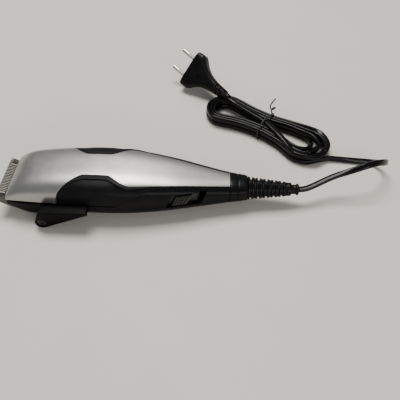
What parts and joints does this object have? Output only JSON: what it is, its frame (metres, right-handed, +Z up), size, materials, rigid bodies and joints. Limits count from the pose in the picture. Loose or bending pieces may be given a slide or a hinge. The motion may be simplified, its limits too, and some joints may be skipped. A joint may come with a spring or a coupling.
{
  "type": "hair clipper",
  "caption": "Mains hair clipper with a silver cover, black grips, a side taper lever, a slide switch, a ribbed strain relief and a lead wound into a tied hank with a flat two-pin plug.",
  "frame": {"origin": "on the flat underside that the clipper lies on, on its centre plane, 108 mm behind the nose", "axes": "+X along the body from the blade to the lead, +Y across, away from the taper lever, +Z up from the underside"},
  "size_m": [0.3092, 0.2048, 0.036],
  "materials": {
    "silver_paint": "metallic satin paint",
    "black_housing": "polished",
    "grip_black": "satin",
    "relief_black": "semi-gloss",
    "blade_steel": "ground",
    "screw_steel": "satin",
    "lever_black": "satin",
    "white_plastic": "matt",
    "spring_steel": "bright",
    "core_steel": "stacked sheets",
    "copper_wire": "enamelled",
    "switch_black": "satin",
    "contact_brass": "bright",
    "cord_black": "smooth PVC",
    "tie_black": "matt",
    "pin_nickel": "bright",
    "sleeve_grey": "satin"
  },
  "bodies": {
    "housing": {"top_cover": "silver_paint", "lower_housing": "black_housing", "lever_side_grip": "grip_black", "plain_side_grip": "grip_black", "rear_collar": "black_housing", "cord_strain_relief": "relief_black", "housing_screws": "screw_steel", "fixed_blade": "blade_steel", "blade_screws": "screw_steel", "blade_spring": "spring_steel", "magnet_core": "core_steel", "coil_bobbin": "white_plastic", "coil_winding": "copper_wire", "core_screws": "screw_steel", "drive_bracket": "core_steel", "armature_pivot": "screw_steel", "return_springs": "spring_steel", "switch_body": "switch_black", "switch_contacts": "contact_brass", "terminal_block": "white_plastic", "cord_clamp": "white_plastic", "clamp_screws": "screw_steel", "lead_wires": "copper_wire", "inner_cord": "cord_black", "mains_cord": "cord_black", "cord_hank": "cord_black", "cord_tie": "tie_black", "plug_lead": "cord_black", "plug_body": "relief_black", "plug_relief": "relief_black", "plug_pins": "pin_nickel", "plug_pin_sleeves": "sleeve_grey"},
    "lever": {"taper_lever": "lever_black", "lever_screw": "switch_black", "lever_washer": "spring_steel", "lever_eccentric": "white_plastic"},
    "cutter_guide": {"cutter_guide": "white_plastic"},
    "moving_blade": {"moving_blade": "blade_steel", "blade_driver": "white_plastic"},
    "armature": {"armature": "core_steel", "armature_arm": "white_plastic"},
    "switch": {"switch_slider": "switch_black"}
  },
  "joints": [
    {"name": "lever_pivot", "type": "hinge", "parent": "housing", "child": "lever", "pos_m": [-0.0808, 0, 0.0057], "axis": [0, -1, 0], "range_deg": [0, 32]},
    {"name": "guide_slide", "type": "slide", "parent": "housing", "child": "cutter_guide", "axis": [-0.8192, 0, 0.5736], "range_m": [0, 0.0015]},
    {"name": "armature_swing", "type": "hinge", "parent": "housing", "child": "armature", "pos_m": [-0.049, 0, 0.017], "axis": [0, 0, -1], "range_deg": [-1.6, 1.6], "stiffness_Nm_per_rad": 0.5},
    {"name": "blade_slide", "type": "slide", "parent": "cutter_guide", "child": "moving_blade", "axis": [0, 1, 0], "range_m": [-0.0015, 0.0015]},
    {"name": "switch_slide", "type": "slide", "parent": "housing", "child": "switch", "axis": [0.9829, 0.184, 0], "range_m": [0, 0.006]}
  ],
  "couplings": [
    {"joint": "guide_slide", "follows": "lever_pivot", "m_per_rad": 0.002665},
    {"joint": "blade_slide", "follows": "armature_swing", "m_per_rad": 0.0535}
  ]
}
